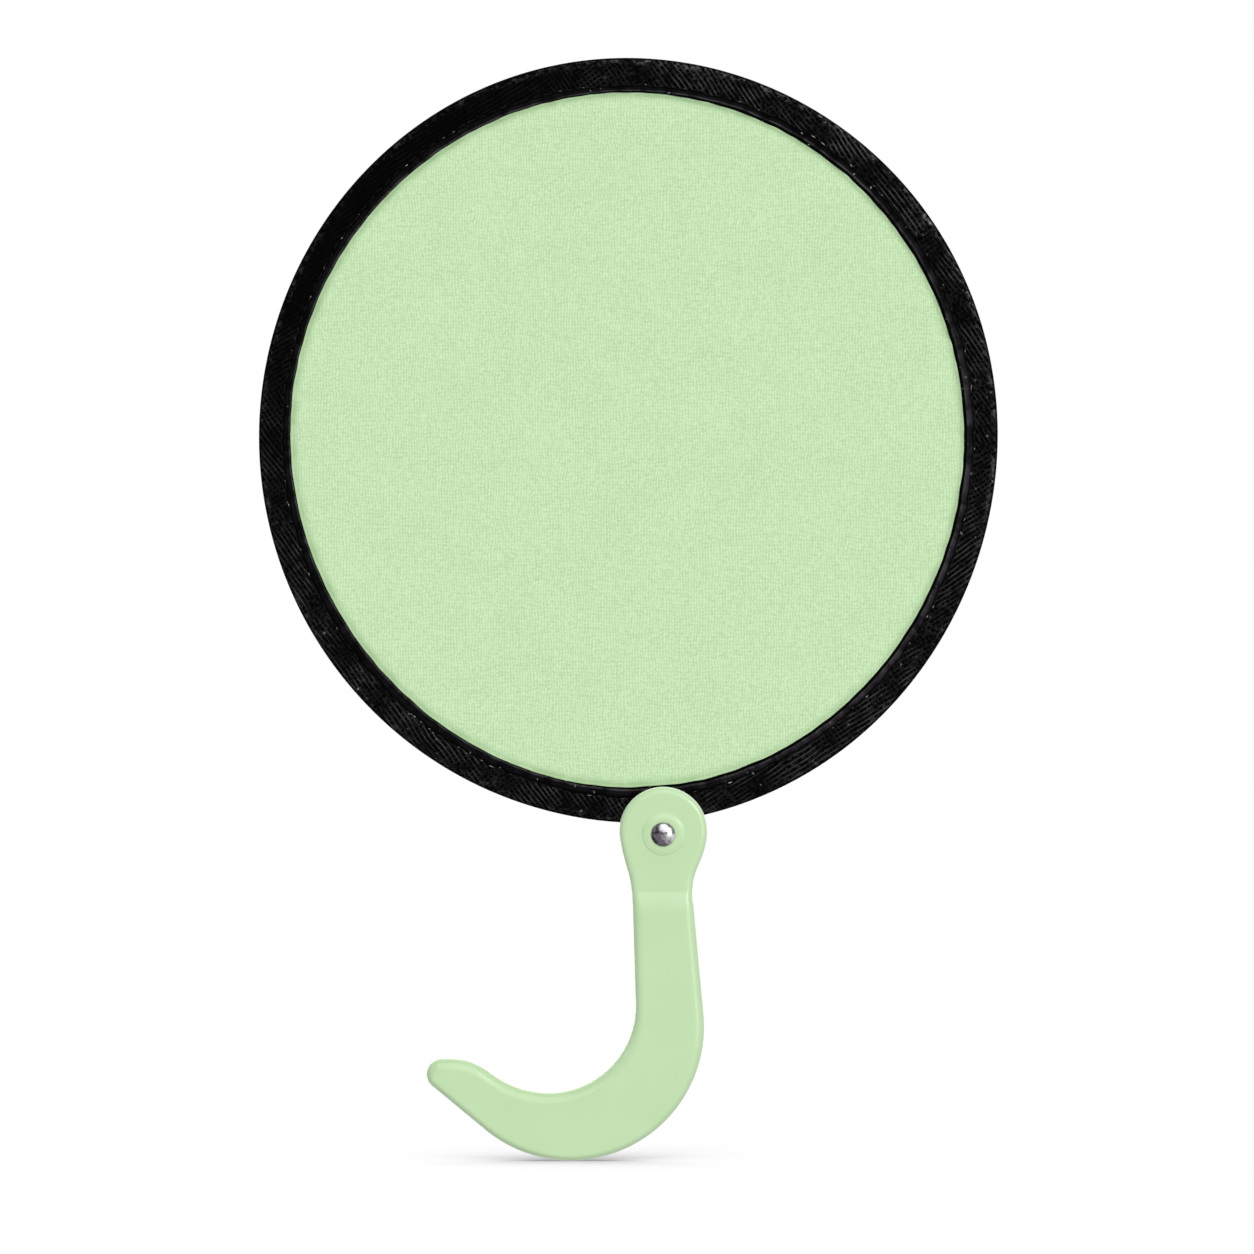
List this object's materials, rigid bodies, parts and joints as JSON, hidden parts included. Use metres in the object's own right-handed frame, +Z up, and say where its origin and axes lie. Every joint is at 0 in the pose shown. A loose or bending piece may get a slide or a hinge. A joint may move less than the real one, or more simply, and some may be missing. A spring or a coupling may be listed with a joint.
{
  "type": "collapsible hand fan",
  "caption": "Pop-up hand fan: a taut woven disc bound with tape over a spring hoop, swivelling on a rivet behind a hook-shaped plastic handle.",
  "frame": {"origin": "middle of the handle's grip, in the middle of its thickness, straight below the rivet", "axes": "+Z up the grip towards the rivet and the disc, -Y the front, where the rivet's domed head is, +X to the right seen from the front, away from the hook's tip"},
  "size_m": [0.2471, 0.0123, 0.368],
  "materials": {
    "handle_plastic": "smooth moulded, soft gloss",
    "rivet_metal": "polished",
    "washer_nylon": "natural nylon",
    "plain_steel": "zinc plated",
    "spring_steel": "drawn, oiled",
    "panel_cloth": "plain-woven nylon, matt",
    "binding_tape": "twill bias tape, matt"
  },
  "bodies": {
    "handle": {"handle": "handle_plastic", "rivet": "rivet_metal", "rivet_cap": "rivet_metal", "spacer_washer": "washer_nylon", "rear_washer": "plain_steel"},
    "fan": {"hoop_clip": "plain_steel", "hoop": "spring_steel", "fabric_panel": "panel_cloth", "edge_binding": "binding_tape"}
  },
  "joints": [
    {"name": "fan_swivel", "type": "hinge", "parent": "handle", "child": "fan", "pos_m": [0, 0, 0.038], "axis": [0, 1, 0], "continuous": true}
  ]
}
